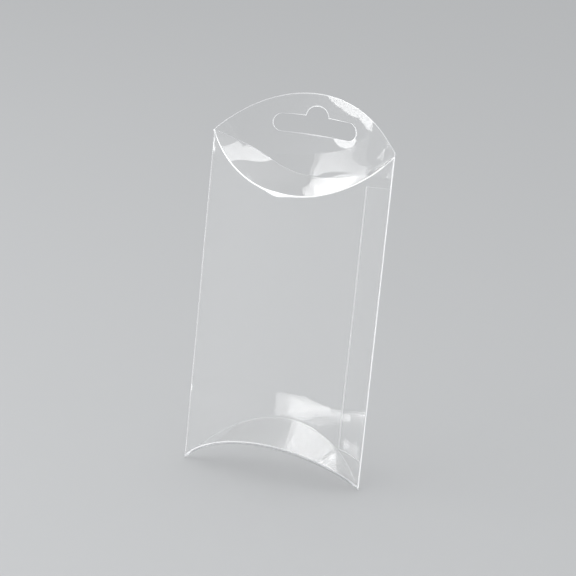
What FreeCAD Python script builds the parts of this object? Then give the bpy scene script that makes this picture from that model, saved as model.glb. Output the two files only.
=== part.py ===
"""Clear pillow pack: one folded sheet with two curved panels, a hang tab and curved closing flaps.

Frame in millimetres: +Z up, the front of the pack faces -Y, origin in the middle of the hang slot.
The bodies are drawn with the top corners of the pack at z = 0 and the side creases at y = 0.
Their Placement then moves them so that the middle of the slot comes to the origin.
"""
import FreeCAD
import Part
import Sketcher
import math
import os
from enum import IntEnum

from FreeCAD import Placement, Rotation, Vector

# Driving dimensions
SIZES = {
    "pack_width": 67.4,       # from side crease to side crease
    "pack_length": 125.2,     # from the top corners to the bottom corners
    "bulge": 16.8,            # how far each panel stands out from the plane of the side creases
    "crease_lag": 1.0,        # how much less the curved creases dip inside the corners than the panels bulge
    "tab_rise": 15.0,         # top of the hang tab above the top corners
    "sheet": 0.3,             # thickness of the plastic sheet
    "clearance": 0.4,         # free space between a flap and the sheet that it closes against
    "glue_flap_cover": 11.5,  # how far the glue flap reaches in from the side crease, seen from the front
    "glue_top_end": 13.0,     # upper end of the glue flap below the top corners
    "glue_low_end": 10.2,     # lower end of the glue flap above the bottom corners
    "flap_setback": 0.5,      # free edge of the outer bottom flap behind the face of the front panel
    "slot_span": 31.2,        # hang slot from tip to tip, seen from the front
    "slot_end_radius": 3.35,  # round ends of the slot, half its height
    "hump_radius": 4.2,       # round peg hole in the middle of the slot
    "hump_drop": 0.3,         # centre of the peg hole below the straight top edge of the slot
    "slot_level": 3.1,        # middle of the slot above the top corners
}

# Sizes that follow from the driving ones, as expressions
PANEL_RADIUS = "(size.pack_width ^ 2 / 4 + size.bulge ^ 2) / (2 * size.bulge)"
PANEL_CENTRE = f"({PANEL_RADIUS} - size.bulge)"
CREASE_SAG = "(size.bulge - size.crease_lag)"
OUTER_RADIUS = f"(size.pack_width ^ 2 / 4 + {CREASE_SAG} ^ 2) / (2 * {CREASE_SAG})"
OUTER_CENTRE = f"({OUTER_RADIUS} - {CREASE_SAG})"
TAB_RADIUS = "(size.pack_width ^ 2 / 4 + size.tab_rise ^ 2) / (2 * size.tab_rise)"
TAB_CENTRE = f"({TAB_RADIUS} - size.tab_rise)"
FOLD_TILT = f"atan((size.bulge ^ 2 - {CREASE_SAG} ^ 2) / (2 * size.bulge * {CREASE_SAG}))"
BACK_LOW_LEVEL = "-(size.pack_length + size.sheet + size.clearance)"
TAB_REACH = "size.pack_width"
TAB_TOP = "3 * size.tab_rise"
TRIM_REACH = "2 * size.pack_width"
FLAP_REACH = "4 * size.bulge"


class Place(IntEnum):
    """Places that constraints name: the ends and centre of an element, and the sketch's axes."""

    START = 1
    END = 2
    CENTRE = 3
    X_AXIS = -1
    Y_AXIS = -2


START, END, CENTRE = Place.START, Place.END, Place.CENTRE
X_AXIS, Y_AXIS = Place.X_AXIS, Place.Y_AXIS
ORIGIN = (X_AXIS, START)

doc = FreeCAD.newDocument("pillow_pack")


def make_size_sheet():
    """Write the driving dimensions to the spreadsheet, one alias for each."""
    sheet = doc.addObject("Spreadsheet::Sheet", "size")
    for row, (alias, value) in enumerate(SIZES.items(), start=1):
        sheet.set(f"A{row}", alias)
        sheet.set(f"B{row}", str(value))
        sheet.setAlias(f"B{row}", alias)
    doc.recompute()
    return sheet


size = make_size_sheet()


def value_of(expression):
    """The present value of an expression on the driving dimensions."""
    return float(size.evalExpression(expression))


def make_body(label):
    """A body whose Placement brings the middle of the hang slot to the origin."""
    body = doc.addObject("PartDesign::Body", label)
    body.Label = label
    body.setExpression("Placement.Base.y", "-(size.bulge - size.sheet / 2)")
    body.setExpression("Placement.Base.z", "-size.slot_level")
    return body


def add_sketch(body, name, role, rise=None, tilt=None):
    """A sketch on one origin plane of its body, raised by and tilted about X by an expression."""
    sketch = body.newObject("Sketcher::SketchObject", name)
    plane = next(item for item in body.Origin.OriginFeatures if item.Role == role)
    sketch.AttachmentSupport = [(plane, "")]
    sketch.MapMode = "FlatFace"
    if rise:
        axis = "z" if role == "XY_Plane" else "y"
        sketch.setExpression(f"AttachmentOffset.Base.{axis}", rise)
    if tilt:
        sketch.AttachmentOffset = Placement(Vector(), Rotation(Vector(1, 0, 0), 1))
        sketch.setExpression("AttachmentOffset.Rotation.Angle", tilt)
    return sketch


def bind(sketch, kind, name, expression, *places):
    """Add one dimension to a sketch and bind it to an expression."""
    index = sketch.addConstraint(Sketcher.Constraint(kind, *places, value_of(expression)))
    sketch.renameConstraint(index, name)
    sketch.setExpression(f"Constraints.{name}", expression)


def join(sketch, *pairs):
    """Make pairs of sketch points coincide."""
    for first, first_end, second, second_end in pairs:
        sketch.addConstraint(Sketcher.Constraint("Coincident", first, first_end, second, second_end))


def on_line(sketch, line, *points):
    """Put sketch points on a line or an axis."""
    for element, end in points:
        sketch.addConstraint(Sketcher.Constraint("PointOnObject", element, end, line))


def add_arc(sketch, centre, radius, side, half_chord):
    """An arc about (0, centre) across the Y axis, on the side +1 or -1 of its centre."""
    spread = math.asin(half_chord / radius)
    middle = side * math.pi / 2
    circle = Part.Circle(Vector(0, centre, 0), Vector(0, 0, 1), radius)
    return sketch.addGeometry(Part.ArcOfCircle(circle, middle - spread, middle + spread))


def add_line(sketch, start, end):
    """A straight sketch line."""
    return sketch.addGeometry(Part.LineSegment(Vector(*start, 0), Vector(*end, 0)))


def chord_of(radius, centre):
    """Half the chord that a circle cuts from a line at this distance from its centre."""
    return math.sqrt(radius ** 2 - centre ** 2)


def bind_centre(sketch, arc, name, side, expression):
    """Put an arc's centre on the Y axis, on the far side of the origin from the arc."""
    on_line(sketch, Y_AXIS, (arc, CENTRE))
    places = (arc, CENTRE, *ORIGIN) if side > 0 else (*ORIGIN, arc, CENTRE)
    bind(sketch, "DistanceY", name, expression, *places)


def draw_strip(sketch, side, inner, outer, centre):
    """A strip of sheet between two concentric arcs that end on the X axis."""
    arcs, reaches = [], []
    for name, expression in (("inner_radius", inner), ("outer_radius", outer)):
        radius = value_of(expression)
        reach = chord_of(radius, value_of(centre))
        arc = add_arc(sketch, -side * value_of(centre), radius, side, reach)
        on_line(sketch, X_AXIS, (arc, START), (arc, END))
        bind(sketch, "Radius", name, expression, arc)
        arcs.append(arc)
        reaches.append(reach)
    bind_centre(sketch, arcs[0], "centre", side, centre)
    join(sketch, (arcs[0], CENTRE, arcs[1], CENTRE))
    for sign, end in ((side, START), (-side, END)):
        line = add_line(sketch, *((sign * reach, 0) for reach in reaches))
        join(sketch, (line, START, arcs[0], end), (line, END, arcs[1], end))


def draw_segment(sketch, side, radius, centre):
    """The region between an arc and its chord on the X axis."""
    reach = chord_of(value_of(radius), value_of(centre))
    arc = add_arc(sketch, -side * value_of(centre), value_of(radius), side, reach)
    on_line(sketch, X_AXIS, (arc, START), (arc, END))
    bind(sketch, "Radius", "radius", radius, arc)
    bind_centre(sketch, arc, "centre", side, centre)
    chord = add_line(sketch, (side * reach, 0), (-side * reach, 0))
    join(sketch, (chord, START, arc, START), (chord, END, arc, END))


def draw_frame(sketch, reach):
    """A square about the sketch's origin."""
    far = value_of(reach)
    corners = [(-far, -far), (far, -far), (far, far), (-far, far)]
    lines = [add_line(sketch, corners[i], corners[(i + 1) % 4]) for i in range(4)]
    for i, line in enumerate(lines):
        join(sketch, (line, END, lines[(i + 1) % 4], START))
        kind = "Horizontal" if i % 2 == 0 else "Vertical"
        sketch.addConstraint(Sketcher.Constraint(kind, line))
    bind(sketch, "DistanceX", "left", reach, lines[0], START, *ORIGIN)
    bind(sketch, "DistanceX", "right", reach, *ORIGIN, lines[0], END)
    bind(sketch, "DistanceY", "low", reach, lines[0], START, *ORIGIN)
    bind(sketch, "DistanceY", "high", reach, *ORIGIN, lines[2], START)


def draw_trim(sketch, front, back):
    """A wide frame round a lens-shaped hole: what lies outside the hole is cut away.

    front and back are the radii of the hole's arcs about the centres of the two panels.
    """
    draw_frame(sketch, TRIM_REACH)
    centre = value_of(PANEL_CENTRE)
    tip_y = (value_of(front) ** 2 - value_of(back) ** 2) / (4 * centre)
    tip_x = chord_of(value_of(back), centre + tip_y)
    arcs = []
    for name, side, radius in (("front", -1, front), ("back", 1, back)):
        arc = add_arc(sketch, -side * centre, value_of(radius), side, tip_x)
        bind(sketch, "Radius", f"{name}_radius", radius, arc)
        bind_centre(sketch, arc, f"{name}_centre", side, PANEL_CENTRE)
        arcs.append(arc)
    join(sketch, (arcs[0], START, arcs[1], END), (arcs[0], END, arcs[1], START))


def feature(body, kind, name, sketch, **properties):
    """Add a pad or pocket of a sketch and recompute it; a pocket has to remove material."""
    before = body.Shape.Volume if body.Tip else 0
    item = body.newObject(f"PartDesign::{kind}", name)
    item.Profile = sketch
    for key, value in properties.items():
        if isinstance(value, str) and key.startswith("Length"):
            item.setExpression(key, value)
        else:
            setattr(item, key, value)
    doc.recompute()
    if kind == "Pocket" and body.Shape.Volume >= before:
        raise RuntimeError(f"{name} cuts nothing")
    return item


def pad_both_ways(body, name, sketch, length):
    """Pad a sketch evenly to both sides of its plane."""
    return feature(body, "Pad", name, sketch, SideType="Symmetric", Length=length)


def cut_through(body, name, sketch):
    """Cut a sketch right through the body, to both sides of its plane."""
    return feature(body, "Pocket", name, sketch, SideType="Symmetric", Length=f"2 * {TRIM_REACH}")


def trim_hole(sheets, clearances):
    """Radius of a trimming arc that lies inside a panel by so many sheets and clearances."""
    return f"{PANEL_RADIUS} - {sheets} * size.sheet - {clearances} * size.clearance"


def fold_flap(body, name, side, rise, tilt, front, back):
    """A flap that mirrors its panel in the plane of their crease, trimmed to the inside of the pack.

    Mirrored, the flap has the panel's own arc, and it runs at the fold's tilt to the Y axis.
    """
    section = add_sketch(body, f"{name}_section", "XZ_Plane", rise, tilt)
    draw_strip(section, side, PANEL_RADIUS, f"{PANEL_RADIUS} + size.sheet", PANEL_CENTRE)
    pad_both_ways(body, f"{name}_sheet", section, FLAP_REACH)
    outline = add_sketch(body, f"{name}_outline", "XY_Plane", rise)
    draw_trim(outline, front, back)
    cut_through(body, f"{name}_trim", outline)


def make_top_flap():
    """Top flap: folded in from the front panel, its free edge against the back panel."""
    body = make_body("top_flap")
    gap = trim_hole(1, 1)
    fold_flap(body, "top_flap", -1, None, f"-{FOLD_TILT}", gap, gap)
    return body


def make_bottom_flap():
    """Outer bottom flap: level from the back crease to its free edge under the front panel."""
    body = make_body("bottom_flap")
    section = add_sketch(body, "bottom_flap_section", "XZ_Plane", BACK_LOW_LEVEL)
    draw_strip(section, 1, OUTER_RADIUS, f"{OUTER_RADIUS} + size.sheet", OUTER_CENTRE)
    pad_both_ways(body, "bottom_flap_sheet", section, FLAP_REACH)
    outline = add_sketch(body, "bottom_flap_outline", "XY_Plane", BACK_LOW_LEVEL)
    draw_trim(outline, f"{PANEL_RADIUS} - size.flap_setback", trim_hole(1, 1))
    cut_through(body, "bottom_flap_trim", outline)
    return body


def add_inner_bottom_flap(body):
    """Inner bottom flap: rooted in the front panel, free of the back panel and the glue flap."""
    root = f"{PANEL_RADIUS} - size.sheet / 2"
    fold_flap(body, "inner_flap", 1, "-size.pack_length", FOLD_TILT, root, trim_hole(2, 1))


def draw_panel(sketch, side):
    """Section of one panel: a strip of sheet whose outer face passes through the side creases."""
    draw_strip(sketch, side, f"{PANEL_RADIUS} - size.sheet", PANEL_RADIUS, PANEL_CENTRE)


def add_front_panel(body):
    """Front panel, from the top flap's crease down to the inner bottom flap's crease."""
    section = add_sketch(body, "front_section", "XY_Plane")
    draw_panel(section, -1)
    feature(body, "Pad", "front_panel", section, Length="size.pack_length", Reversed=True)
    top = add_sketch(body, "top_crease", "XZ_Plane", None, f"-{FOLD_TILT}")
    draw_segment(top, -1, PANEL_RADIUS, PANEL_CENTRE)
    cut_through(body, "front_top_cut", top)
    low = add_sketch(body, "low_crease", "XZ_Plane", "-size.pack_length", FOLD_TILT)
    draw_segment(low, 1, PANEL_RADIUS, PANEL_CENTRE)
    cut_through(body, "front_low_cut", low)


def add_back_panel(body):
    """Back panel and hang tab in one height, ended by the tab's arc and the outer flap's crease."""
    section = add_sketch(body, "back_section", "XY_Plane")
    draw_panel(section, 1)
    feature(body, "Pad", "back_panel", section, SideType="Two sides", Length="2 * size.tab_rise",
            Length2=f"-({BACK_LOW_LEVEL})")
    tab = add_sketch(body, "tab_outline", "XZ_Plane")
    draw_above_tab(tab)
    cut_through(body, "tab_cut", tab)
    crease = add_sketch(body, "back_low_crease", "XZ_Plane", BACK_LOW_LEVEL)
    draw_segment(crease, 1, OUTER_RADIUS, OUTER_CENTRE)
    cut_through(body, "back_low_cut", crease)


def draw_above_tab(sketch):
    """The region above the tab's arc: out along the X axis, up, across and down again."""
    radius, centre = value_of(TAB_RADIUS), value_of(TAB_CENTRE)
    side, reach, top = chord_of(radius, centre), value_of(TAB_REACH), value_of(TAB_TOP)
    arc = add_arc(sketch, -centre, radius, 1, side)
    on_line(sketch, X_AXIS, (arc, START), (arc, END))
    bind(sketch, "Radius", "radius", TAB_RADIUS, arc)
    bind_centre(sketch, arc, "centre", 1, TAB_CENTRE)
    points = [(side, 0), (reach, 0), (reach, top), (-reach, top), (-reach, 0), (-side, 0)]
    lines = [add_line(sketch, start, end) for start, end in zip(points, points[1:])]
    join(sketch, (lines[0], START, arc, START), (lines[-1], END, arc, END))
    for line, following in zip(lines, lines[1:]):
        join(sketch, (line, END, following, START))
    on_line(sketch, X_AXIS, (lines[0], END), (lines[-1], START))
    for line, kind in zip(lines[1:4], ("Vertical", "Horizontal", "Vertical")):
        sketch.addConstraint(Sketcher.Constraint(kind, line))
    bind(sketch, "DistanceX", "right", TAB_REACH, *ORIGIN, lines[0], END)
    bind(sketch, "DistanceX", "left", TAB_REACH, lines[-1], START, *ORIGIN)
    bind(sketch, "DistanceY", "top", TAB_TOP, *ORIGIN, lines[1], END)


def add_glue_flap(body):
    """Glue flap: a second sheet on the inside of the back panel, along the right side crease."""
    sketch = add_sketch(body, "glue_section", "XY_Plane", "-size.glue_top_end")
    edge_place = "size.pack_width / 2 - size.glue_flap_cover"
    edge_x, centre = value_of(edge_place), value_of(PANEL_CENTRE)
    radii = (f"{PANEL_RADIUS} - 2 * size.sheet", f"{PANEL_RADIUS} - size.sheet / 2")
    arcs, starts, ends = [], [], []
    for name, expression in zip(("inner_radius", "outer_radius"), radii):
        radius = value_of(expression)
        circle = Part.Circle(Vector(0, -centre, 0), Vector(0, 0, 1), radius)
        arc = Part.ArcOfCircle(circle, math.asin(centre / radius), math.acos(edge_x / radius))
        arcs.append(sketch.addGeometry(arc))
        on_line(sketch, X_AXIS, (arcs[-1], START))
        bind(sketch, "Radius", name, expression, arcs[-1])
        starts.append((chord_of(radius, centre), 0))
        ends.append((edge_x, chord_of(radius, edge_x) - centre))
    bind_centre(sketch, arcs[0], "centre", 1, PANEL_CENTRE)
    join(sketch, (arcs[0], CENTRE, arcs[1], CENTRE))
    for line_ends, end in ((starts, START), (ends, END)):
        line = add_line(sketch, *line_ends)
        join(sketch, (line, START, arcs[0], end), (line, END, arcs[1], end))
    sketch.addConstraint(Sketcher.Constraint("Vertical", line))
    bind(sketch, "DistanceX", "edge", edge_place, *ORIGIN, line, START)
    feature(body, "Pad", "glue_flap", sketch, Reversed=True,
            Length="size.pack_length - size.glue_top_end - size.glue_low_end")


def cut_hang_slot(body):
    """Hang slot: two round-ended wings with a round peg hole standing up from their middle."""
    sketch = add_sketch(body, "slot_outline", "XZ_Plane", "size.slot_level")
    end_place = "size.slot_span / 2 - size.slot_end_radius"
    hump_place = "size.slot_end_radius - size.hump_drop"
    end_x, end_r, hump_y = value_of(end_place), size.slot_end_radius, value_of(hump_place)
    hump_x = chord_of(size.hump_radius, size.hump_drop)
    low = add_line(sketch, (-end_x, -end_r), (end_x, -end_r))
    top_right = add_line(sketch, (end_x, end_r), (hump_x, end_r))
    top_left = add_line(sketch, (-hump_x, end_r), (-end_x, end_r))
    left = add_slot_end(sketch, "left", -end_x, end_r)
    right = add_slot_end(sketch, "right", end_x, end_r)
    hump = add_arc(sketch, hump_y, size.hump_radius, 1, hump_x)
    join(sketch, (low, START, left, END), (low, END, right, START),
         (top_right, START, right, END), (top_right, END, hump, START),
         (top_left, START, hump, END), (top_left, END, left, START))
    for line in (top_right, top_left):
        sketch.addConstraint(Sketcher.Constraint("Horizontal", line))
    bind(sketch, "DistanceX", "right_centre", end_place, *ORIGIN, right, CENTRE)
    bind(sketch, "DistanceX", "left_centre", end_place, left, CENTRE, *ORIGIN)
    on_line(sketch, Y_AXIS, (hump, CENTRE))
    bind(sketch, "Radius", "hump_radius", "size.hump_radius", hump)
    bind(sketch, "DistanceY", "hump_centre", hump_place, *ORIGIN, hump, CENTRE)
    cut_through(body, "hang_slot", sketch)


def add_slot_end(sketch, name, x, radius):
    """A half circle that closes the slot at one end, left or right of the middle."""
    first = math.pi / 2 if x < 0 else -math.pi / 2
    circle = Part.Circle(Vector(x, 0, 0), Vector(0, 0, 1), radius)
    arc = sketch.addGeometry(Part.ArcOfCircle(circle, first, first + math.pi))
    on_line(sketch, X_AXIS, (arc, CENTRE))
    bind(sketch, "Radius", f"{name}_radius", "size.slot_end_radius", arc)
    for end in (START, END):
        sketch.addConstraint(Sketcher.Constraint("Vertical", arc, end, arc, CENTRE))
    return arc


def make_sleeve():
    """The folded and glued sheet: both panels, hang tab, glue flap and the inner bottom flap."""
    body = make_body("sleeve")
    add_inner_bottom_flap(body)
    add_front_panel(body)
    add_back_panel(body)
    add_glue_flap(body)
    cut_hang_slot(body)
    return body


def check_document(parts):
    """Stop if an object failed to recompute or a sub-part is not one valid solid."""
    for item in doc.Objects:
        if "Invalid" in item.State or "Error" in item.State:
            raise RuntimeError(f"{item.Label} did not recompute: {item.State}")
    for part in parts:
        if part.Shape.isNull() or not part.Shape.isValid() or len(part.Shape.Solids) != 1:
            raise RuntimeError(f"{part.Label} is not one valid solid")


sub_parts = [make_sleeve(), make_top_flap(), make_bottom_flap()]
doc.recompute()
check_document(sub_parts)
os.makedirs("parts", exist_ok=True)
for sub_part in sub_parts:
    sub_part.Shape.exportStep(f"parts/{sub_part.Label}.step")
    box = sub_part.Shape.BoundBox
    print(f"{sub_part.Label}: {sub_part.Shape.Volume:.0f} mm3, x {box.XMin:.1f} to {box.XMax:.1f}, "
          f"y {box.YMin:.1f} to {box.YMax:.1f}, z {box.ZMin:.1f} to {box.ZMax:.1f}")
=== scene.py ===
"""Clear pillow pack with a hang tab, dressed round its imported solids.

The pack is one die-cut sheet of clear plastic, 0.3 mm thick. Two curved panels meet in the side
creases, flaps fold in along curved creases at both ends, and the back panel runs on as a hang tab.
Shapes are worked out in millimetres with the pack's top corners at z = 0 and its side creases at
y = 0, and one function moves them to the frame of the solids, in metres.
"""
import logging
import math
from dataclasses import dataclass, field
from enum import Enum

import bpy
import numpy as np
from mathutils import Matrix, Vector


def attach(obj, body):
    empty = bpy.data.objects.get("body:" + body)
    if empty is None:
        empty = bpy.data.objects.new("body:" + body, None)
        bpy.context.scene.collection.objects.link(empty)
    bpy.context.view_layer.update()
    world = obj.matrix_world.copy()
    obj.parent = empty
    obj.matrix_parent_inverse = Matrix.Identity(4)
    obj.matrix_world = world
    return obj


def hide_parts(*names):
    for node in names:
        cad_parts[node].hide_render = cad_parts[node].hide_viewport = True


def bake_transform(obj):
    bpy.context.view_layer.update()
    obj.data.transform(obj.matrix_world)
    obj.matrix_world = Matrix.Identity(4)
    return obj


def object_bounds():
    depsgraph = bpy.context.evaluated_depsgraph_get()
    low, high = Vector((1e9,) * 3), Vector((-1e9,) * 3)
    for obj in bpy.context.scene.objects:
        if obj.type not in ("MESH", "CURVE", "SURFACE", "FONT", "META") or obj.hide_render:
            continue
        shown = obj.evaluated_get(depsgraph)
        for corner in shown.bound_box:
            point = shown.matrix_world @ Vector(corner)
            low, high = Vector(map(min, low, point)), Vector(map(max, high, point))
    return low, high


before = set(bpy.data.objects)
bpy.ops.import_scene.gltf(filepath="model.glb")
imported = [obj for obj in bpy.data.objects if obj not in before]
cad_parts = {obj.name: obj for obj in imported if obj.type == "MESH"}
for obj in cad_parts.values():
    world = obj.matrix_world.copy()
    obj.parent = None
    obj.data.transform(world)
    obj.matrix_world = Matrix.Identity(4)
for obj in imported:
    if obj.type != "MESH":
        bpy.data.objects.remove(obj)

CAD_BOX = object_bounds()
LOG = logging.getLogger("pillow_pack")
MM = 0.001  # a millimetre in metres
PHOTO_SIDE = 576  # pixels along a side of the photograph
CREASE_FADE = 0.25  # how far the whitening of an end crease reaches, in millimetres
CUT_FADE = 0.3  # how far that of a cut edge reaches
PANEL_COLUMNS = 92  # even steps across a panel
SEW_STEPS = 1000  # points are sewn where they round to the same step of a millimetre


# Small helpers

def linear(code: str) -> tuple[float, float, float, float]:
    """Turn an sRGB hex colour into linear light.

    Args:
        code: The colour as written, such as "#C4C6C8".

    Returns:
        Red, green, blue and an alpha of 1, linear.
    """
    parts = [int(code[i:i + 2], 16) / 255 for i in (1, 3, 5)]
    return (*(p / 12.92 if p <= 0.04045 else ((p + 0.055) / 1.055) ** 2.4 for p in parts), 1.0)


def add_node(tree: bpy.types.NodeTree, kind: str, links: dict[str | int, object] | None = None,
             **settings: object) -> bpy.types.Node:
    """Add one node with its settings and its links.

    Args:
        tree: The node tree that gets the node.
        kind: Blender's name for the node type.
        links: Input names or numbers, each with the output socket or the value that it takes.
        **settings: Properties of the node itself.

    Returns:
        The new node.
    """
    node = tree.nodes.new(kind)
    for name, value in settings.items():
        setattr(node, name, value)
    for key, value in (links or {}).items():
        if isinstance(value, bpy.types.NodeSocket):
            tree.links.new(value, node.inputs[key])
        else:
            node.inputs[key].default_value = value
    return node


# Shape of the pack

@dataclass(frozen=True)
class PackSizes:
    """The pack's sizes in millimetres.

    Attributes:
        width: Width from side crease to side crease.
        length: Length from the top corners to the bottom ones.
        bulge: Rise of a panel's arc in its middle.
        crease_lag: How much less the end creases dip than the panels bulge.
        tab_rise: How far the hang tab rises above the top corners.
        sheet: Thickness of the sheet.
        clearance: Gap between a moving flap and what lies next to it.
        glue_cover: Width of the glue flap as seen from the front.
        glue_top_end: How far below the top corners the glue flap ends.
        glue_low_end: How far above the bottom corners it ends.
        flap_setback: How far inside the front's outer face the outer bottom flap ends.
        slot_span: Width of the hang slot.
        slot_end: Radius of the slot's round ends, half its height.
        hump: Radius of the round peg hole in its upper edge.
        hump_drop: How far below that edge the peg hole's centre lies.
        slot_level: Height of the slot's middle above the top corners.
        side_bend: Outer radius of the side creases' bends.
    """

    width: float = 67.4
    length: float = 125.2
    bulge: float = 16.8
    crease_lag: float = 1.0
    tab_rise: float = 15.0
    sheet: float = 0.3
    clearance: float = 0.4
    glue_cover: float = 11.5
    glue_top_end: float = 13.0
    glue_low_end: float = 10.2
    flap_setback: float = 0.5
    slot_span: float = 31.2
    slot_end: float = 3.35
    hump: float = 4.2
    hump_drop: float = 0.3
    slot_level: float = 3.1
    side_bend: float = 0.35

    @property
    def half(self) -> float:
        """Half the pack's width."""
        return self.width / 2

    @property
    def sag(self) -> float:
        """How far the curved creases dip inside the corners."""
        return self.bulge - self.crease_lag

    @property
    def tilt(self) -> float:
        """Tilt of a flap that mirrors its panel in the plane of their crease, in radians."""
        return math.atan((self.bulge ** 2 - self.sag ** 2) / (2 * self.bulge * self.sag))

    @property
    def panel_radius(self) -> float:
        """Radius of the panels' arcs."""
        return self.radius(self.bulge)

    @property
    def panel_depth(self) -> float:
        """Distance of an arc's centre from the plane of the side creases."""
        return self.panel_radius - self.bulge

    @property
    def bend_centre(self) -> float:
        """Where the centre of a side crease's bend lies, so that it meets both panels smoothly."""
        return math.sqrt((self.panel_radius - self.side_bend) ** 2 - self.panel_depth ** 2)

    @property
    def bend_angle(self) -> float:
        """Angle on the panels' arcs where the bend of a side crease begins."""
        return math.atan2(self.bend_centre, self.panel_depth)

    def radius(self, rise: float) -> float:
        """Radius of the arc over the pack's width with this rise in its middle."""
        return (self.half ** 2 + rise ** 2) / (2 * rise)

    def crown(self, x: np.ndarray, rise: float, inset: float = 0.0) -> np.ndarray:
        """Height of that arc above its chord: the circle's ordinate less its centre's depth."""
        radius = self.radius(rise)
        return np.sqrt(np.maximum((radius - inset) ** 2 - np.square(x), 0)) - (radius - rise)


SIZES = PackSizes()


def to_frame(points: np.ndarray) -> np.ndarray:
    """Move points in millimetres to the frame of the solids, in metres."""
    return (points - (0, SIZES.bulge - SIZES.sheet / 2, SIZES.slot_level)) * MM


def waves(points: np.ndarray) -> np.ndarray:
    """Slow waves of the sheet along its normal: a sum of slanted sine waves 24 to 195 mm long.

    Args:
        points: Places in millimetres.

    Returns:
        How far the sheet lies off its smooth shape at each place, in millimetres, 0.1 at most.
    """
    x, y, z = points[..., 0], points[..., 1], points[..., 2]
    return (0.05 * np.sin(x / 7.1 + z / 23.0 + 0.4) * np.sin(z / 17.0 - y / 11.0)
            + 0.02 * np.sin(x / 3.9 - z / 31.0 + 1.7) + 0.03 * np.sin(z / 9.3 + x / 29.0 + y / 5.0))


def steps(length: np.ndarray | float, count: int,
          near: tuple[float, ...] = (0.0, 0.25, 0.5, 1.0)) -> np.ndarray:
    """Places along a length, with close ones at fixed distances from both ends.

    Args:
        length: The length, or one length for each column.
        count: How many even steps lie between the close ones.
        near: Distances of the close ones from an end, cut down where the length is short.

    Returns:
        Rows of places from 0 to the length, one column for each length.
    """
    length = np.atleast_1d(np.asarray(length, float))
    share = np.minimum(1.0, length / (4 * near[-1]))
    first = np.multiply.outer(near, share)
    between = np.linspace(0, 1, count + 1)[1:-1, None]
    middle = first[-1] + between * (length - 2 * first[-1])
    return np.concatenate([first, middle, (length - first)[::-1]])


def fade(distance: np.ndarray, strength: float = 1.0, width: float = 0.45) -> np.ndarray:
    """Whitening beside a crease or a cut: full up to 0.4 of the width, then falling to none."""
    return strength * np.clip((width - distance) / (0.6 * width), 0, 1)


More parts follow.
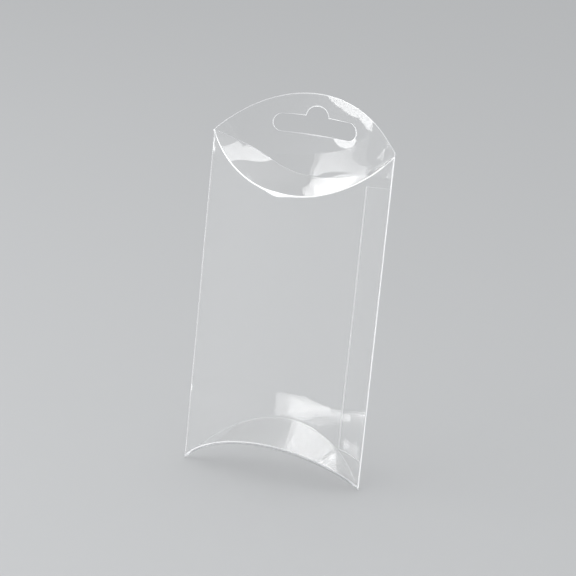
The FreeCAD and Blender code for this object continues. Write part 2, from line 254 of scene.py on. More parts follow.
@dataclass
class SheetMesh:
    """Patches of one sheet's outer face, sewn together and given the sheet's thickness.

    Attributes:
        name: Name of the finished piece.
        patches: Grids of outer points, rows by columns by three, in millimetres.
        pales: For each patch, how far each point is whitened, from 0 to 1.
        seams: Places where the sheet runs on into another piece, so that its rim stays clear.
        sharp: Angle between two faces, in degrees, past which their edge is shaded as sharp.
    """

    name: str
    patches: list[np.ndarray] = field(default_factory=list)
    pales: list[np.ndarray] = field(default_factory=list)
    seams: list[np.ndarray] = field(default_factory=list)
    sharp: float = 35.0

    def add(self, grid: np.ndarray, pale: np.ndarray) -> None:
        """Add a patch, its columns to the right and its rows upwards as seen from outside."""
        self.patches.append(grid)
        self.pales.append(pale)

    def sew(self) -> tuple[np.ndarray, np.ndarray, np.ndarray, np.ndarray]:
        """Join the patches where their points are the same to a micrometre.

        Returns:
            The points, the faces' four corners, how far each point is whitened, and whether it lies
            on a seam.
        """
        points, faces, pales, start = [], [], [], 0
        for grid, pale in zip(self.patches, self.pales):
            rows, columns = grid.shape[:2]
            index = start + np.arange(rows * columns).reshape(rows, columns)
            corners = index[:-1, :-1], index[:-1, 1:], index[1:, 1:], index[1:, :-1]
            faces.append(np.stack(corners, -1).reshape(-1, 4))
            points.append(grid.reshape(-1, 3))
            pales.append(pale.reshape(-1))
            start += rows * columns
        points, pales = np.concatenate(points), np.concatenate(pales)
        keys = np.round(points * SEW_STEPS).astype(np.int64)
        keys, first, place = np.unique(keys, axis=0, return_index=True, return_inverse=True)
        seam = {tuple(p) for places in self.seams
                for p in np.round(places * SEW_STEPS).astype(np.int64).tolist()}
        on_seam = np.array([tuple(k) in seam for k in keys.tolist()])
        return points[first], place.reshape(-1)[np.concatenate(faces)], pales[first], on_seam

    def build(self, thickness: float, materials: list[bpy.types.Material]) -> bpy.types.Object:
        """Make the closed sheet as an object.

        Each point gets a twin, moved inwards along its normal by the thickness. The twins' faces
        are turned round, and every edge that only one face has gets a rim face between the sides.

        Args:
            thickness: Thickness of the sheet in millimetres.
            materials: The sheet's finish and that of its cut edges.

        Returns:
            The piece, with its place in its mesh.
        """
        points, faces, pales, on_seam = self.sew()
        corners = [points[faces[:, i]] for i in range(4)]
        areas = np.cross(corners[2] - corners[0], corners[3] - corners[1])
        normals = np.zeros_like(points)
        for corner in range(4):
            np.add.at(normals, faces[:, corner], areas)
        normals /= np.maximum(np.linalg.norm(normals, axis=1, keepdims=True), 1e-12)
        outer = points + normals * waves(points)[:, None]
        edges = np.concatenate([faces[:, [i, (i + 1) % 4]] for i in range(4)])
        edges = edges[edges[:, 0] != edges[:, 1]]
        low, high = edges.min(1), edges.max(1)
        _, which, counts = np.unique(low * len(points) + high, return_index=True,
                                     return_counts=True)
        free = edges[which[counts == 1]]
        twin = len(points)
        rims = np.c_[free[:, 1], free[:, 0], free[:, 0] + twin, free[:, 1] + twin]
        every = np.concatenate([faces, faces[:, ::-1] + twin, rims])
        finish = np.r_[np.zeros(len(faces) * 2, int), np.where(on_seam[free].all(1), 0, 1)]
        both = np.concatenate([outer, outer - normals * thickness])
        # A face with two corners in one place becomes a triangle.
        loops = [list(dict.fromkeys(face)) for face in every.tolist()]
        mesh = bpy.data.meshes.new(self.name)
        mesh.from_pydata(to_frame(both).tolist(), [], loops)
        for material in materials:
            mesh.materials.append(material)
        mesh.polygons.foreach_set("material_index", finish.astype(np.int32))
        mesh.shade_smooth()
        mesh.set_sharp_from_angle(angle=math.radians(self.sharp))
        layer = mesh.attributes.new("pale", "FLOAT", "POINT")
        layer.data.foreach_set("value", np.tile(pales, 2).astype(np.float32))
        mesh.update()
        piece = bpy.data.objects.new(self.name, mesh)
        bpy.context.scene.collection.objects.link(piece)
        return piece


class Side(Enum):
    """Which panel a flap is rooted in, by the way that it then runs along y."""

    FRONT = 1
    BACK = -1


class End(Enum):
    """Which end of the pack a flap closes, by the way that its panel runs to it along z."""

    TOP = 1
    BOTTOM = -1


@dataclass(frozen=True)
class FoldedFlap:
    """A flap with the rounded bend of its crease.

    At each place across the pack the sheet runs up its panel, turns about a small circle that
    touches both, and goes on straight to the free edge. The bend is widest in the middle.

    Attributes:
        side: The panel that the flap is rooted in.
        end: The end of the pack that it closes.
        crease_rise: Rise of the arc that the crease follows.
        corner_level: Height of the crease's ends.
        tilt: How far the flap leans into the pack, in radians.
        reach_inset: How far inside the opposite panel's outer face its free edge ends.
        bend: Outer radius of the bend on a long crease.
        loose: How much wider the bend is where it was not pressed flat.
        loose_place: Where that is across the pack.
        loose_width: How wide that spot is, as the width of a normal curve.
        ease: Length of the flap at which the bend has half its full radius.
        least_reach: Length of the flap at the corners.
        bend_steps: Even steps round the bend.
        crease_white: How far the crease is whitened.
        cut_white: How far the free edge is whitened.
        lift: How far the free edge stands above the mirrored panel, on the whole.
        bow: How much further it stands up in its left half.
        bow_place: Where that is across the pack.
        bow_width: How wide it is, as the width of a normal curve.
        dip: How much less it stands up in its right half.
        dip_place: Where that is across the pack.
        dip_width: How wide it is, as the width of a normal curve.
        corner_power: How sharply the lift falls to nothing at the corners.
    """

    side: Side
    end: End
    crease_rise: float
    corner_level: float
    tilt: float
    reach_inset: float
    bend: float = 0.33
    loose: float = 0.0
    loose_place: float = -4.0
    loose_width: float = 3.6
    ease: float = 3.0
    least_reach: float = 0.25
    bend_steps: int = 8
    crease_white: float = 0.6
    cut_white: float = 0.4
    lift: float = 0.0
    bow: float = 0.0
    bow_place: float = -20.5
    bow_width: float = 9.5
    dip: float = 0.0
    dip_place: float = 20.5
    dip_width: float = 4.0
    corner_power: int = 14

    def reach(self, x: np.ndarray) -> np.ndarray:
        """Length of the flap along its straight lines, from crease to free edge."""
        level = SIZES.crown(x, SIZES.bulge) + SIZES.crown(x, SIZES.bulge, self.reach_inset)
        return np.maximum(level / math.cos(self.tilt), self.least_reach)

    def bend_radius(self, x: np.ndarray) -> np.ndarray:
        """Radius of the bend: nearly the full one on long lines, and little at the corners.

        Args:
            x: Places across the pack.

        Returns:
            The full radius at each place, by the flap's length over that length and the ease.
        """
        reach = self.reach(x)
        wide = self.bend + self.loose * np.exp(-((x - self.loose_place) / self.loose_width) ** 2)
        return wide * reach / (reach + self.ease)

    def rise(self, x: np.ndarray) -> np.ndarray:
        """How far the free edge is lifted: an even part, a bell on the left and a dip on the right.

        Args:
            x: Places across the pack.

        Returns:
            The lift at each place. Bell and dip are normal curves, and a high power of the place
            brings all of it down to nothing at the corners.
        """
        ends = 1 - np.abs(x / SIZES.half) ** self.corner_power
        bell = np.exp(-((x - self.bow_place) / self.bow_width) ** 2)
        hollow = np.exp(-((x - self.dip_place) / self.dip_width) ** 2)
        return ends * (self.lift + self.bow * bell - self.dip * hollow)

    def tangent(self, x: np.ndarray) -> np.ndarray:
        """How far from the crease the bend begins: its radius by the tangent of half the turn."""
        return self.bend_radius(x) * math.tan((math.pi / 2 + self.tilt) / 2)

    def crease(self, x: np.ndarray) -> np.ndarray:
        """Height of the sharp crease line."""
        return self.corner_level - self.end.value * SIZES.crown(x, self.crease_rise)

    def root(self, x: np.ndarray) -> np.ndarray:
        """Height where the bend leaves the panel."""
        return self.crease(x) - self.end.value * self.tangent(x)

    def grid(self, x: np.ndarray, count: int = 30) -> tuple[np.ndarray, np.ndarray]:
        """Points of the bend and the flap.

        Args:
            x: Places across the pack.
            count: Even steps along the flap.

        Returns:
            Rows from the panel over the bend to the free edge, and how far they are whitened.
        """
        up, into, radius = self.end.value, self.side.value, self.bend_radius(x)
        turn = math.pi / 2 + self.tilt
        angle = np.linspace(0, turn, self.bend_steps + 1)[:-1, None]
        root_y = -into * SIZES.crown(x, SIZES.bulge)
        centre_y = root_y + into * radius
        bend_y = centre_y - into * radius * np.cos(angle)
        bend_z = self.root(x) + up * radius * np.sin(angle)
        start_y = centre_y - into * radius * math.cos(turn)
        start_z = self.root(x) + up * radius * math.sin(turn)
        along = steps(self.reach(x) - self.tangent(x), count)
        y = np.concatenate([bend_y, start_y + into * along * math.cos(self.tilt)])
        lifted = self.rise(x) * along / along[-1]
        z = np.concatenate([bend_z, start_z - up * (along * math.sin(self.tilt) - lifted)])
        rest = np.maximum(fade(along, self.crease_white, CREASE_FADE),
                          fade(along[-1] - along, self.cut_white, CUT_FADE))
        pale = np.concatenate([np.full_like(bend_y, self.crease_white), rest])
        return np.stack([np.broadcast_to(x, y.shape), y, z], -1), pale


# The top flap's bend is wider left of its middle, and its free edge stands up as in the photo.
TOP_FLAP = FoldedFlap(
    Side.FRONT, End.TOP, SIZES.sag, 0.0, SIZES.tilt, SIZES.sheet + SIZES.clearance,
    loose=0.95, crease_white=0.85, lift=2.2, bow=2.6, dip=1.0)
INNER_FLAP = FoldedFlap(
    Side.FRONT, End.BOTTOM, SIZES.sag, -SIZES.length, SIZES.tilt,
    2 * SIZES.sheet + SIZES.clearance, lift=1.7)
OUTER_FLAP = FoldedFlap(
    Side.BACK, End.BOTTOM, SIZES.sag, -(SIZES.length + SIZES.sheet + SIZES.clearance), 0.0,
    SIZES.flap_setback)


def across() -> np.ndarray:
    """Places across a panel: steps along its arc, closer towards the creases.

    Returns:
        The places along x, from the bend of the left side crease to that of the right one.
    """
    limit = SIZES.bend_angle * SIZES.panel_radius
    arc = steps(2 * limit, PANEL_COLUMNS)[:, 0] - limit
    return SIZES.panel_radius * np.sin(arc / SIZES.panel_radius)


@dataclass
class Sleeve:
    """Both panels, the hang tab, the inner bottom flap and the glue flap.

    Attributes:
        seam_height: How far below the corners the tab's patch is sewn to the back panel.
        rows: Even steps along the panels.
        end_rows: Distances of the close rows from a panel's ends, fine enough for the stress marks.
        bend_columns: Columns round the bend of a side crease.
        crease_white: How far the panels are whitened at the end creases.
        side_whites_and_highlights: How far the left and the right side crease are whitened;
        the right one is crease whitening and a painted highlight.
        dent: Depth of the left stress mark, under the front panel's top corner.
        right_dent: Depth of the right one, as a share of the left one's.
        mark_inset: Distance of a mark's middle from the side crease.
        mark_level: Height of its middle.
        mark_size: Half its width and half its height.
        mark_line: Width of its outline, a painted highlight, as a share of its size.
        mark_open: Height above which that outline is left out, which makes it a U.
        mark_painted_highlights: How far the left and the right outline are whitened, as a painted
        highlight of each dent's hollow.
        tip_steps: Steps round a quarter of the slot's tip.
        line_steps: Steps along a straight line beside the peg hole.
        hump_steps: Steps round the peg hole.
        spokes: Even steps from the tab's outline to the slot's.
        posts: Points of the slot's upper outline that get set places on the tab's.
        post_places: Those places, as shares of half the pack's width.
        outline_white: How far the tab's outline is whitened.
        slot_white: How far the slot's outline is whitened.
        ear: How far the tab's right corner would stand out past the side crease, unfaded.
        ear_foot: Height by which that has grown to the full.
        ear_height: Height by which it has faded again, as the width of a normal curve.
        ear_from: Place across the pack where it begins.
        glue_layer: Thickness of the glue behind the glue flap.
        glue_gap: How far the glue flap stays off the side crease's bend, as an angle in radians.
        glue_columns: Columns across the glue flap.
        glue_slant: How much lower than its set place its top end is at the crease and at its edge.
        glue_white: How far its edges are whitened.
    """

    seam_height: float = 4.0
    rows: int = 80
    end_rows: tuple[float, ...] = (
        0, 0.25, 0.5, 1, 1.6, 2.2, 2.8, 3.4, 4, 4.6, 5.2, 5.8, 6.5, 7.3, 8.2)
    bend_columns: int = 6
    crease_white: float = 0.45
    side_whites_and_highlights: tuple[float, float] = (0.25, 0.95)
    dent: float = 0.25
    right_dent: float = 0.6
    mark_inset: float = 1.3
    mark_level: float = -4.6
    mark_size: tuple[float, float] = (0.95, 2.7)
    mark_line: float = 0.22
    mark_open: float = -3.2
    mark_painted_highlights: tuple[float, float] = (0.35, 0.15)
    tip_steps: int = 8
    line_steps: int = 10
    hump_steps: int = 32
    spokes: int = 14
    posts: tuple[int, ...] = (0, 3, 8, 18, 50, 60, 65, 68)
    post_places: tuple[float, ...] = (-1, -0.965, -0.8, -0.3, 0.3, 0.8, 0.965, 1)
    outline_white: float = 0.45
    slot_white: float = 0.5
    ear: float = 1.5
    ear_foot: float = 1.2
    ear_height: float = 5.0
    ear_from: float = 24.0
    glue_layer: float = 0.03
    glue_gap: float = 0.004
    glue_columns: int = 18
    glue_slant: tuple[float, float] = (-1.1, 1.7)
    glue_white: float = 0.5

    def side_fold(self, x: np.ndarray) -> np.ndarray:
        """Distance along the sheet from the nearer side crease."""
        radius = SIZES.panel_radius
        return radius * (SIZES.bend_angle - np.arcsin(np.minimum(np.abs(x) / radius, 1)))

    def seam_level(self, x: np.ndarray) -> np.ndarray:
        """Height where the tab's patch meets the back panel's."""
        return -self.seam_height * SIZES.crown(x, SIZES.bulge) / SIZES.bulge

    def tube(self) -> tuple[np.ndarray, np.ndarray]:
        """The closed tube of both panels and the side creases' bends.

        Columns run round the pack: the front from left to right, the right bend, the back from
        right to left and the left bend. Each column is a straight line between its two ends.

        Returns:
            The tube's points, and how far they are whitened or painted with highlights.
        """
        x = across()
        y = SIZES.crown(x, SIZES.bulge)
        spread = math.pi / 2 - SIZES.bend_angle
        angle = np.linspace(-spread, spread, self.bend_columns + 2)[1:-1]
        bend_x = SIZES.bend_centre + SIZES.side_bend * np.cos(angle)
        bend_y = SIZES.side_bend * np.sin(angle)
        ease = np.linspace(0, 1, self.bend_columns + 2)[1:-1]
        front = np.stack([INNER_FLAP.root(x), TOP_FLAP.root(x)])
        back = np.stack([OUTER_FLAP.root(x), self.seam_level(x)])
        side = front[:, -1:] + ease * (back[:, -1:] - front[:, -1:])
        xs = np.concatenate([x, bend_x, x[::-1], -bend_x[::-1], x[:1]])
        ys = np.concatenate([-y, bend_y, y[::-1], bend_y[::-1], -y[:1]])
        low, high = np.concatenate(
            [front, side, back[:, ::-1], side[:, ::-1], front[:, :1]], axis=1)
        along = steps(high - low, self.rows, self.end_rows)
        z = low + along
        # Stress marks: shallow bells pressed in towards the front arc's centre, none on the back.
        inwards = np.where(ys < 0, self.side_fold(xs), np.inf)
        ring = np.hypot((inwards - self.mark_inset) / self.mark_size[0],
                        (z - self.mark_level) / self.mark_size[1])
        depth = self.dent * np.exp(-ring ** 2) * np.where(xs < 0, 1.0, self.right_dent)
        radius = SIZES.panel_radius
        grid = np.stack([xs - depth * xs / radius,
                         ys - depth * (ys - SIZES.panel_depth) / radius, z], -1)
        # Whitening: the end creases, but not the seam to the tab, then the side creases, the right
        # one brightened further as a painted highlight, and a painted highlight round the marks.
        crease = np.where(ys <= 0, np.minimum(along, high - low - along), along)
        # The right side crease gets far more than the left: crease whitening and a painted
        # highlight.
        left_white, right_white_and_highlight = self.side_whites_and_highlights
        folds = np.where(xs > 0, right_white_and_highlight, left_white) * fade(
            np.maximum(self.side_fold(xs), 0))
        # Painted highlight: a white U round each stress mark, in place of the light its hollow
        # reflects.
        marks = np.where(xs < 0, *self.mark_painted_highlights) * np.exp(-((ring - 1) / self.mark_line) ** 2)
        return grid, np.maximum.reduce([fade(crease, self.crease_white, CREASE_FADE),
                                        np.broadcast_to(folds, z.shape),
                                        marks * (z < self.mark_open)])

    def slot_top(self) -> np.ndarray:
        """Upper half of the slot's outline, with the round peg hole in its middle.

        A quarter circle, a straight line and the peg hole's arc, then the first two mirrored.

        Returns:
            Places across the pack and heights, from the left tip to the right one.
        """
        end, level = SIZES.slot_end, SIZES.slot_level
        reach = SIZES.slot_span / 2 - end
        foot = math.sqrt(SIZES.hump ** 2 - SIZES.hump_drop ** 2)
        quarter = np.linspace(math.pi, math.pi / 2, self.tip_steps + 1)
        left_end = np.c_[-reach + end * np.cos(quarter), level + end * np.sin(quarter)]
        straight = np.linspace(-reach, -foot, self.line_steps + 1)
        line = np.c_[straight, np.full_like(straight, level + end)]
        lean = math.asin(SIZES.hump_drop / SIZES.hump)
        turn = np.linspace(math.pi - lean, lean, self.hump_steps + 1)
        hump = np.c_[SIZES.hump * np.cos(turn),
                     level + end - SIZES.hump_drop + SIZES.hump * np.sin(turn)]
        left = np.concatenate([left_end[:-1], line[:-1]])
        return np.concatenate([left, hump, (left * (-1, 1))[::-1]])

    def slot_low(self, share: np.ndarray) -> np.ndarray:
        """Lower half of the slot's outline: a straight line with a quarter circle at each end.

        Args:
            share: Shares of the way from its middle, from -1 at the left tip to 1 at the right.

        Returns:
            Places across the pack and heights.
        """
        end = SIZES.slot_end
        reach = SIZES.slot_span / 2 - end
        length = reach + end * math.pi / 2
        way = np.abs(share) * length
        turn = np.maximum(way - reach, 0) / end
        x = np.minimum(way, reach) + end * np.sin(turn)
        return np.c_[np.sign(share) * x, SIZES.slot_level - end * np.cos(turn)]

    def tab(self) -> tuple[np.ndarray, np.ndarray]:
        """The hang tab as a ring between its outline and the slot's, laid on the back panel's arc.

        Returns:
            The tab's points, and how far they are whitened.
        """
        x = across()
        top_slot = self.slot_top()
        places = np.interp(np.arange(len(top_slot)), self.posts, np.array(self.post_places) * x[-1])
        top = np.c_[places, SIZES.crown(places, SIZES.tab_rise)]
        low = np.c_[x, self.seam_level(x)][::-1]
        outer = np.concatenate([top, low, top[:1]])
        inner = np.concatenate([top_slot, self.slot_low(low[:, 0] / x[-1]), top_slot[:1]])
        span = np.linalg.norm(inner - outer, axis=1)
        share = (steps(span, self.spokes) / span)[..., None]
        flat = outer + share * (inner - outer)
        rise = np.clip(flat[..., 1], 0, None)
        foot, bell = np.clip(rise / self.ear_foot, 0, 1), np.exp(-(rise / self.ear_height) ** 2)
        beyond = np.clip((flat[..., 0] - self.ear_from) / (SIZES.half - self.ear_from), 0, None)
        flat[..., 0] += self.ear * foot * bell * beyond ** 2
        y = SIZES.crown(flat[..., 0], SIZES.bulge)
        edge = np.arange(len(outer)) < len(top)
        pale = np.maximum(fade((1 - share[..., 0]) * span, self.slot_white, CUT_FADE),
                          edge * fade(share[..., 0] * span, self.outline_white, CUT_FADE))
        return np.stack([flat[..., 0], y, flat[..., 1]], -1), pale

    def body(self, finishes: list[bpy.types.Material]) -> bpy.types.Object:
        """The one sheet of panels, tab and inner bottom flap.

        Args:
            finishes: The sheet's finish and that of its cut edges.

        Returns:
            The piece, riding on the sleeve.
        """
        x = across()
        sheet = SheetMesh("sleeve_sheet")
        sheet.add(*self.tube())
        sheet.add(*self.tab())
        grid, pale = INNER_FLAP.grid(x)
        sheet.add(grid[::-1], pale[::-1])
        crown = SIZES.crown(x, SIZES.bulge)
        sheet.seams = [np.c_[x, -crown, TOP_FLAP.root(x)], np.c_[x, crown, OUTER_FLAP.root(x)]]
        piece = sheet.build(SIZES.sheet, finishes)
        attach(piece, "sleeve")
        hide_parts("sleeve")
        return piece

    def glue_flap(self, finishes: list[bpy.types.Material]) -> bpy.types.Object:
        """The strip along the right crease that is glued to the back panel's inside.

        Args:
            finishes: The sheet's finish and that of its cut edges.

        Returns:
            The piece, riding on the sleeve.
        """
        radius = SIZES.panel_radius - SIZES.sheet - self.glue_layer
        edge = math.asin((SIZES.half - SIZES.glue_cover) / radius)
        angle = np.linspace(SIZES.bend_angle - self.glue_gap, edge, self.glue_columns)
        top = SIZES.glue_top_end + np.linspace(*self.glue_slant, len(angle))
        z = (steps(SIZES.length - top - SIZES.glue_low_end, self.rows)
             + SIZES.glue_low_end - SIZES.length)
        x, y = radius * np.sin(angle), radius * np.cos(angle) - SIZES.panel_depth
        sheet = SheetMesh("glue_flap")
        pale = np.zeros_like(z)
        pale[:, -1] = pale[0] = pale[-1] = self.glue_white
        sheet.add(np.stack([np.broadcast_to(x, z.shape), np.broadcast_to(y, z.shape), z], -1), pale)
        piece = sheet.build(SIZES.sheet, finishes)
        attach(piece, "sleeve")
        return piece


@dataclass
class EndFlap:
    """An end flap, with the bend that ties it to its panel.

    Attributes:
        name: Name of the finished piece.
        body: The node that it stands for, whose solid it hides.
        shape: Its folded shape.
        reach: How far from the crease's plane the bend would end; not used.
        gap: How far its seam stands off the sleeve's rim, in millimetres.
    """

    name: str
    body: str
    shape: FoldedFlap
    reach: float = 17.0
    gap: float = 0.01

    def build(self, finishes: list[bpy.types.Material]) -> bpy.types.Object:
        """Make the flap in place of its solid.

        Args:
            finishes: The sheet's finish and that of its cut edges.

        Returns:
            The piece, in the frame of the solids.
        """
        x, shape = across(), self.shape
        into, up = shape.side.value, shape.end.value
        grid, pale = shape.grid(x)
        seam = np.c_[x, -into * SIZES.crown(x, SIZES.bulge), shape.root(x)] + (0, 0, up * self.gap)
        grid[0] = seam
        grid, pale = grid[::up, ::into], pale[::up, ::into]
        sheet = SheetMesh(self.name)
        sheet.add(grid, pale)
        sheet.seams = [seam]
        piece = sheet.build(SIZES.sheet, finishes)
        normal = np.array((0.0, into * shape.crease_rise, -up * SIZES.bulge))
        normal /= np.linalg.norm(normal)
        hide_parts(self.body)
        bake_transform(piece)
        return piece


# Finishes

@dataclass(frozen=True)
class ClearSheet:
    """Clear PET sheet, calendered: hard gloss with a slight haze, whitened where it was creased.

    The gloss gives sharp window-like highlights, the haze a faint grey veil, and a crease a pale
    line. The pale line along the right side crease is partly, and that round each stress mark
    wholly, a painted highlight.

    Attributes:
        tint: Colour of the light that comes through.
        whitened: Colour of creased plastic, and of the painted highlight lines.
        ior: Index of refraction of PET.
        roughness: Roughness of the calendered faces.
        haze_scale: Patches of uneven gloss in a metre, so that one is about 11 mm wide.
        haze_range: Noise values between which the roughness grows.
        haze_spread: The least and the greatest roughness, as shares of the roughness.
        veil: Share of light that the clear faces scatter.
        crease_roughness: Roughness of creased plastic.
        lamp_tint: Colour of the lamps' light that passes straight through.
    """

    tint: str = "#FEFEFE"
    whitened: str = "#FAFBFC"
    ior: float = 1.57
    roughness: float = 0.015
    haze_scale: float = 90.0
    haze_range: tuple[float, float] = (0.35, 0.7)
    haze_spread: tuple[float, float] = (0.6, 1.6)
    veil: float = 0.012
    crease_roughness: float = 0.4
    lamp_tint: str = "#FAFAFA"

    def material(self) -> bpy.types.Material:
        """Glass that lets lamps through, mixed with a white scatter along creases and painted
        highlights.

        Returns:
            The finish, mixed by the sheet's own "pale" attribute.
        """
        material = bpy.data.materials.new("clear_pet_sheet")
        material.use_nodes = True
        tree = material.node_tree
        tree.nodes.clear()
        place = add_node(tree, "ShaderNodeTexCoord").outputs["Object"]
        haze = add_node(tree, "ShaderNodeTexNoise", {
            "Vector": place, "Scale": self.haze_scale, "Detail": 3.0})
        least, most = (self.roughness * share for share in self.haze_spread)
        rough = add_node(tree, "ShaderNodeMapRange", {
            "Value": haze.outputs["Fac"], "From Min": self.haze_range[0],
            "From Max": self.haze_range[1], "To Min": least, "To Max": most})
        pale = add_node(tree, "ShaderNodeAttribute", attribute_name="pale")
        # The pale attribute holds crease and cut whitening, and painted highlights along the right
        # side crease and round the stress marks.
        crease = add_node(tree, "ShaderNodeMapRange", {
            "Value": pale.outputs["Fac"], "To Min": self.veil, "To Max": 1.0})
        clear = add_node(tree, "ShaderNodeBsdfPrincipled", {
            "Base Color": linear(self.tint), "Roughness": rough.outputs[0], "IOR": self.ior,
            "Transmission Weight": 1.0})
        white = add_node(tree, "ShaderNodeBsdfPrincipled", {
            "Base Color": linear(self.whitened), "Roughness": self.crease_roughness,
            "IOR": self.ior})
        # A Mix Shader's sockets are the factor, what it gives at 0 and what it gives at 1.
        sheet = add_node(tree, "ShaderNodeMixShader", {
            0: crease.outputs[0], 1: clear.outputs[0], 2: white.outputs[0]})
        through = add_node(tree, "ShaderNodeBsdfTransparent", {"Color": linear(self.lamp_tint)})
        # The rays that light the floor pass straight, as glass would otherwise cast a dark shadow.
        path = add_node(tree, "ShaderNodeLightPath")
        light = add_node(tree, "ShaderNodeMath", {
            0: path.outputs["Is Shadow Ray"], 1: path.outputs["Is Diffuse Ray"]},
            operation="MAXIMUM")
        both = add_node(tree, "ShaderNodeMixShader", {
            0: light.outputs[0], 1: sheet.outputs[0], 2: through.outputs[0]})
        add_node(tree, "ShaderNodeOutputMaterial", {"Surface": both.outputs[0]})
        return material


@dataclass(frozen=True)
class CutEdge:
    """Die-cut edge of PET sheet: sheared and frosty, so it gathers light and shows as a pale line.

    Attributes:
        colour: Colour of the sheared face.
        ior: Index of refraction of PET.
        grain: Size of the shear marks, in millimetres.
        roughness: The least and the greatest roughness that the shear marks give.
        clearness: Share of the light that still passes through the face.
    """

    colour: str = "#F7F9FB"
    ior: float = 1.57
    grain: float = 0.4
    roughness: tuple[float, float] = (0.25, 0.5)
    clearness: float = 0.6

    def material(self) -> bpy.types.Material:
        """Frosted plastic with fine shear marks.

        Returns:
            The finish.
        """
        material = bpy.data.materials.new("die_cut_pet_edge")
        material.use_nodes = True
        tree = material.node_tree
        tree.nodes.clear()
        place = add_node(tree, "ShaderNodeTexCoord").outputs["Object"]
        marks = add_node(tree, "ShaderNodeTexNoise", {
            "Vector": place, "Scale": 1 / (self.grain * MM)})
        rough = add_node(tree, "ShaderNodeMapRange", {
            "Value": marks.outputs["Fac"], "To Min": self.roughness[0],
            "To Max": self.roughness[1]})
        edge = add_node(tree, "ShaderNodeBsdfPrincipled", {
            "Base Color": linear(self.colour), "Roughness": rough.outputs[0], "IOR": self.ior,
            "Transmission Weight": self.clearness})
        add_node(tree, "ShaderNodeOutputMaterial", {"Surface": edge.outputs[0]})
        return material


# Studio

PIECES = ("sleeve_sheet", "glue_flap", "top_closing_flap", "outer_bottom_flap")
SLEEVE = ("sleeve_sheet",)
TOP = ("top_closing_flap",)


@dataclass(frozen=True)
class Softbox:
    """A flat lamp that faces the pack and shows only in its gloss.

    Attributes:
        name: Name of the lamp.
        azimuth: Its two sides as seen from the pack, in degrees from the front towards the right.
        low: Heights of its lower corners, in millimetres from the pack's top corners.
        rise: Its height along its own face, in millimetres.
        distance: Distance of its sides from the pack's middle line, in millimetres.
        radiance: How bright its face is, where 1 is white.
        pieces: Names of the pieces that it lights, or none for all of the scene.
        rounded: True for an elliptical lamp.
    """

    name: str
    azimuth: tuple[float, float]
    low: tuple[float, float]
    rise: float
    distance: float
    radiance: float
    pieces: tuple[str, ...] = ()
    rounded: bool = False

    def build(self) -> None:
        """Hang the lamp between its two sides. Its power is its radiance by its area and pi."""
        angles = [math.radians(azimuth) for azimuth in self.azimuth]
        ends = [Vector((math.sin(a) * self.distance, -math.cos(a) * self.distance, z))
                for a, z in zip(angles, self.low)]
        side = ends[1] - ends[0]
        outwards = side.cross(Vector((0, 0, 1))).normalized()
        if outwards.dot((ends[0] + ends[1]) / 2) < 0:
            outwards = -outwards
        right = side.normalized()
        up = outwards.cross(right)
        if up.z < 0:
            right, up = -right, -up
        middle = (ends[0] + ends[1] + up * self.rise) / 2
        lamp = bpy.data.lights.new(self.name, "AREA")
        lamp.shape = "ELLIPSE" if self.rounded else "RECTANGLE"
        lamp.size, lamp.size_y = side.length * MM, self.rise * MM
        filled = math.pi / 4 if self.rounded else 1
        lamp.energy = self.radiance * math.pi * lamp.size * lamp.size_y * filled
        item = bpy.data.objects.new(self.name, lamp)
        turn = Matrix((right, up, outwards)).transposed().to_4x4()
        item.matrix_world = Matrix.Translation(to_frame(np.array(middle))) @ turn
        item.visible_camera = False
        bpy.context.scene.collection.objects.link(item)
        if self.pieces:
            lit = bpy.data.collections.new(self.name + "_pieces")
            for name in self.pieces:
                lit.objects.link(bpy.data.objects[name])
            item.light_linking.receiver_collection = lit


@dataclass(frozen=True)
class Camera:
    """The photograph's view, fitted to the pack's corners and creases.

    Attributes:
        azimuth: Turn round the pack, in degrees from the front.
        elevation: Height above the horizon, in degrees.
        roll: Turn about the line of sight, in degrees.
        distance: Distance from the target, in millimetres.
        focal: Focal length in pixels of the photograph.
        shift: Sideways and upward move of the camera in its own plane, in millimetres.
        target: The point looked at, in the frame of the solids, in millimetres.
    """

    azimuth: float = 14.23
    elevation: float = 15.74
    roll: float = 5.72
    distance: float = 915.1
    focal: float = 2519.35
    shift: tuple[float, float] = (-0.36, -8.15)
    target: tuple[float, float, float] = (0.0, -16.65, -65.7)

    def build(self) -> None:
        """Place the camera: back from the target, rolled, and moved by the shift."""
        azimuth, elevation, roll = map(math.radians, (self.azimuth, self.elevation, self.roll))
        back = Vector((math.sin(azimuth) * math.cos(elevation),
                       -math.cos(azimuth) * math.cos(elevation), math.sin(elevation)))
        level = Vector((math.cos(azimuth), math.sin(azimuth), 0))
        upright = back.cross(level)
        right = math.cos(roll) * level + math.sin(roll) * upright
        up = math.cos(roll) * upright - math.sin(roll) * level
        data = bpy.data.cameras.new("camera")
        data.sensor_width = 36.0
        data.lens = self.focal * data.sensor_width / PHOTO_SIDE
        data.clip_start, data.clip_end = 0.05, 60.0
        item = bpy.data.objects.new("camera", data)
        turn = Matrix((right, up, back)).transposed().to_4x4()
        place = (Vector(self.target) + back * self.distance
                 - right * self.shift[0] - up * self.shift[1])
        item.matrix_world = Matrix.Translation(place * MM) @ turn
        bpy.context.scene.collection.objects.link(item)
        bpy.context.scene.camera = item


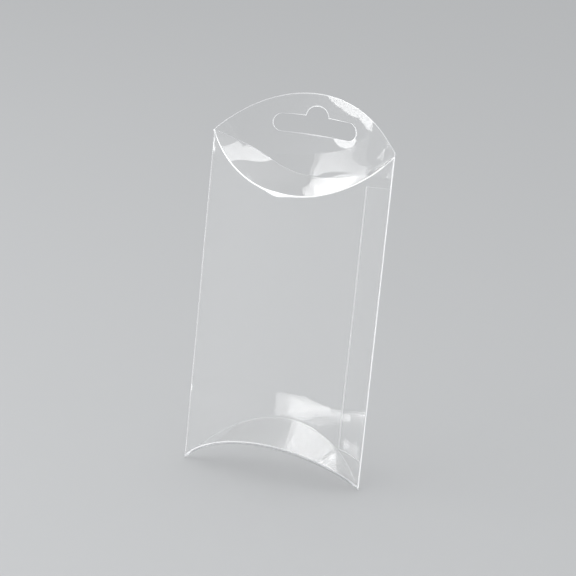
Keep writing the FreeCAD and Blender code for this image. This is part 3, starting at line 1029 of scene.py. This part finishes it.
@dataclass(frozen=True)
class Studio:
    """Pale floor, soft sky and softboxes.

    Attributes:
        floor_colour: Colour of the floor near the pack.
        horizon: Colour of the surroundings up to a little above the horizon.
        zenith: Their colour overhead.
        sky_range: Heights on the sky's sphere, from 0 to 1, where the one turns into the other.
        floor_rings: Radii of the floor's first, second and last ring, in metres.
        floor_grid: How many rings widen outwards, and how many sectors each has.
        softboxes: The lamps.
    """

    floor_colour: str = "#C2C3C4"
    horizon: str = "#BCBDBE"
    zenith: str = "#F4F5F6"
    sky_range: tuple[float, float] = (0.2, 0.8)
    floor_rings: tuple[float, float, float] = (0.02, 0.1, 14.0)
    floor_grid: tuple[int, int] = (24, 64)
    softboxes: tuple[Softbox, ...] = (
        # Main light from the upper left
        Softbox("key_softbox", (-15, -90), (225, 225), 560, 1250, 3.6),
        # Patch at the foot of the back panel, and part of the one on the top flap's right
        Softbox("low_key_card", (-6, -62), (-110, -110), 370, 1250, 4.0, SLEEVE),
        # Grey patch on the inner bottom flap
        Softbox("back_softbox", (156, 189.5), (30, 30), 130, 600, 0.12, PIECES),
        # Patch on the top flap's left
        Softbox("back_strip", (164, 169.8), (448, 448), 342, 1000, 1.5, PIECES),
        Softbox("back_strip_top", (161, 164), (690, 690), 100, 1000, 1.5, PIECES),
        # Patch on the top flap's right
        Softbox("low_back_card", (184.7, 196.5), (207, -120), 262, 1500, 0.28, PIECES),
        # White band along the tab's upper right edge, in three parts for its curved inner edge
        Softbox("left_panel_a", (-18, -37), (-50.0, -58.1), 110, 330, 3.7, SLEEVE),
        Softbox("left_panel_b", (-37, -57), (-58.1, -64.5), 110, 330, 3.7, SLEEVE),
        Softbox("left_panel_c", (-57, -76), (-64.5, -72.4), 110, 330, 3.7, SLEEVE),
        # Small patch under the slot's right end
        Softbox("left_spot", (-33, -57), (-80.0, -80.0), 7, 330, 4.2, SLEEVE, True),
        # Glint beside the bottom right corner
        Softbox("top_card", (-70, -125), (380, 380), 700, 180, 9.0, TOP),
        # Grey patch between the slot and the top crease, and the crease's bright line
        Softbox("tab_patch_card", (-72, -11), (90, 90), 570, 600, 2.2, TOP),
        # Bright line of the right side crease
        Softbox("right_panel", (86, 112), (-60, -60), 220, 500, 8.0, SLEEVE),
    )

    def floor(self) -> None:
        """A wide floor just below the pack, as a grid of rings that widen outwards."""
        low = CAD_BOX[0].z
        first, second, last = self.floor_rings
        rings, sectors = self.floor_grid
        radius = np.r_[first, np.geomspace(second, last, rings)][:, None]
        angle = np.linspace(0, 2 * math.pi, sectors + 1)[None, :-1]
        x, y = radius * np.cos(angle), radius * np.sin(angle)
        points = np.stack([x, y, np.full_like(x, low)], -1).reshape(-1, 3)
        index = np.arange(len(points)).reshape(x.shape)
        following = np.roll(index, -1, 1)
        faces = np.stack([index[:-1], index[1:], following[1:], following[:-1]], -1).reshape(-1, 4)
        mesh = bpy.data.meshes.new("floor")
        mesh.from_pydata(points.tolist(), [], faces.tolist() + [index[0].tolist()])
        # Matt paper has hardly any gloss, so that little but the pack's faint shadow shows on it.
        material = bpy.data.materials.new("matt_paper_floor")
        material.use_nodes = True
        shader = material.node_tree.nodes["Principled BSDF"]
        shader.inputs["Base Color"].default_value = linear(self.floor_colour)
        shader.inputs["Roughness"].default_value = 0.9
        shader.inputs["Specular IOR Level"].default_value = 0.2
        mesh.materials.append(material)
        item = bpy.data.objects.new("floor", mesh)
        bpy.context.scene.collection.objects.link(item)

    def surroundings(self) -> None:
        """Soft light from all round: the floor's shade at the horizon, and nearly white above."""
        world = bpy.data.worlds.new("soft_surroundings")
        bpy.context.scene.world = world
        world.use_nodes = True
        tree = world.node_tree
        place = add_node(tree, "ShaderNodeTexCoord").outputs["Generated"]
        height = add_node(tree, "ShaderNodeSeparateXYZ", {0: place}).outputs["Z"]
        rise = add_node(tree, "ShaderNodeMapRange", {
            "Value": height, "From Min": self.sky_range[0], "From Max": self.sky_range[1]},
            interpolation_type="SMOOTHSTEP")
        # Inputs 6 and 7 and output 2 of a Mix node are its colour sockets.
        colour = add_node(tree, "ShaderNodeMix", {"Factor": rise.outputs[0]}, data_type="RGBA")
        colour.inputs[6].default_value = linear(self.horizon)
        colour.inputs[7].default_value = linear(self.zenith)
        tree.links.new(colour.outputs[2], tree.nodes["Background"].inputs["Color"])

    def build(self) -> None:
        """Set up the floor, the light and the view settings."""
        self.floor()
        self.surroundings()
        for softbox in self.softboxes:
            softbox.build()
        scene = bpy.context.scene
        scene.view_settings.view_transform = "Standard"
        # Enough bounces for light that passes all layers of the sheet and turns back
        scene.cycles.max_bounces = 32
        scene.cycles.transmission_bounces = 28
        scene.cycles.glossy_bounces = 8
        scene.cycles.transparent_max_bounces = 48
        scene.cycles.caustics_reflective = False
        scene.cycles.caustics_refractive = False


def main() -> None:
    """Build the pack and the studio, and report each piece."""
    logging.basicConfig(level=logging.INFO, format="%(message)s")
    Camera().build()
    finishes = [ClearSheet().material(), CutEdge().material()]
    sleeve = Sleeve()
    pieces = [
        sleeve.body(finishes), sleeve.glue_flap(finishes),
        EndFlap("top_closing_flap", "top_flap", TOP_FLAP).build(finishes),
        EndFlap("outer_bottom_flap", "bottom_flap", OUTER_FLAP).build(finishes)]
    for piece in pieces:
        LOG.info("%s: %d faces", piece.name, len(piece.data.polygons))
    Studio().build()


if __name__ == "__main__":
    main()
